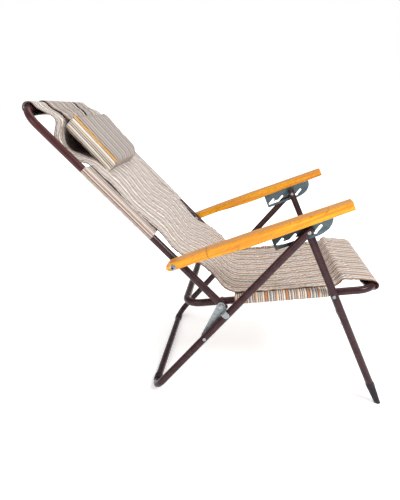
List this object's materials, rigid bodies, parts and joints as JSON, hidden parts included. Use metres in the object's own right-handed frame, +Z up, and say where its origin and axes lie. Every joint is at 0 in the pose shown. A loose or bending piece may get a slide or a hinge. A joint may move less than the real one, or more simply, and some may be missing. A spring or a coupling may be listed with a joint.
{
  "type": "folding recliner chair",
  "caption": "Folding lounge recliner with tube frames, bamboo armrests on notched steel plates, a striped cloth sling and a box head pillow.",
  "frame": {"origin": "middle of the overall box at ground level, below the seat", "axes": "+X to the front of the chair, +Y to the sitter's left, +Z up"},
  "size_m": [1.046, 0.6264, 0.8608],
  "materials": {
    "tube_paint": "semi-gloss dark brown paint",
    "black_plastic": "matt moulded plastic",
    "zinc_hardware": "bright zinc plate",
    "dark_bolt": "dark zinc plate",
    "galvanised_plate": "galvanised, bluish",
    "bamboo": "clear gloss varnish over bamboo",
    "sling_cloth": "woven, thin lengthwise stripes",
    "band_cloth": "woven, stripes across the chair",
    "pillow_cloth": "woven, thin lengthwise stripes"
  },
  "bodies": {
    "rear_legs": {"rear_leg_frame": "tube_paint", "rear_leg_end_plugs": "black_plastic", "ground_bar_clips": "black_plastic", "link_rivets": "zinc_hardware", "top_pins_outer": "zinc_hardware"},
    "front_legs": {"front_leg_left": "tube_paint", "front_leg_right": "tube_paint", "front_foot_left": "black_plastic", "front_foot_right": "black_plastic", "front_leg_top_plugs": "black_plastic", "top_pins_inner": "zinc_hardware", "seat_rivets_outer": "zinc_hardware"},
    "links": {"link_plate_left": "galvanised_plate", "link_plate_right": "galvanised_plate"},
    "seat": {"seat_frame": "tube_paint", "seat_rivets_inner": "zinc_hardware", "pivot_spacers": "zinc_hardware", "seat_support_band": "band_cloth", "sling_seat": "sling_cloth", "main_pivot_bolts": "zinc_hardware", "main_pivot_nuts": "zinc_hardware"},
    "back": {"back_frame": "tube_paint", "back_tube_plugs": "black_plastic", "back_support_band": "band_cloth", "sling_back": "sling_cloth", "head_pillow": "pillow_cloth", "pillow_straps": "pillow_cloth", "armrest_bolts": "dark_bolt", "armrest_nuts": "zinc_hardware"},
    "armrests": {"armrest_left": "bamboo", "armrest_right": "bamboo", "comb_plate_left": "galvanised_plate", "comb_plate_right": "galvanised_plate", "comb_plate_screws": "zinc_hardware", "armrest_washers": "zinc_hardware"}
  },
  "joints": [
    {"name": "fold", "type": "hinge", "parent": "rear_legs", "child": "front_legs", "pos_m": [0.2671, 0, 0.5369], "axis": [0, 1, 0], "range_deg": [0, 63]},
    {"name": "link_turn", "type": "hinge", "parent": "rear_legs", "child": "links", "pos_m": [-0.00923, 0, 0.20288], "axis": [0, -1, 0], "range_deg": [0, 134.19]},
    {"name": "seat_turn", "type": "hinge", "parent": "links", "child": "seat", "pos_m": [0.037, 0, 0.3008], "axis": [0, 1, 0], "range_deg": [0, 102.06]},
    {"name": "recline", "type": "hinge", "parent": "seat", "child": "back", "pos_m": [0.037, 0, 0.3008], "axis": [0, 1, 0], "range_deg": [-11.8, 24.2]},
    {"name": "armrest_level", "type": "hinge", "parent": "back", "child": "armrests", "pos_m": [-0.09452, 0, 0.43232], "axis": [0, -1, 0], "range_deg": [-10.15, 20.82]}
  ],
  "couplings": [
    {"joint": "link_turn", "follows": "fold", "ratio": 2.13},
    {"joint": "seat_turn", "follows": "fold", "ratio": 1.62},
    {"joint": "armrest_level", "follows": "recline", "ratio": 0.86}
  ]
}
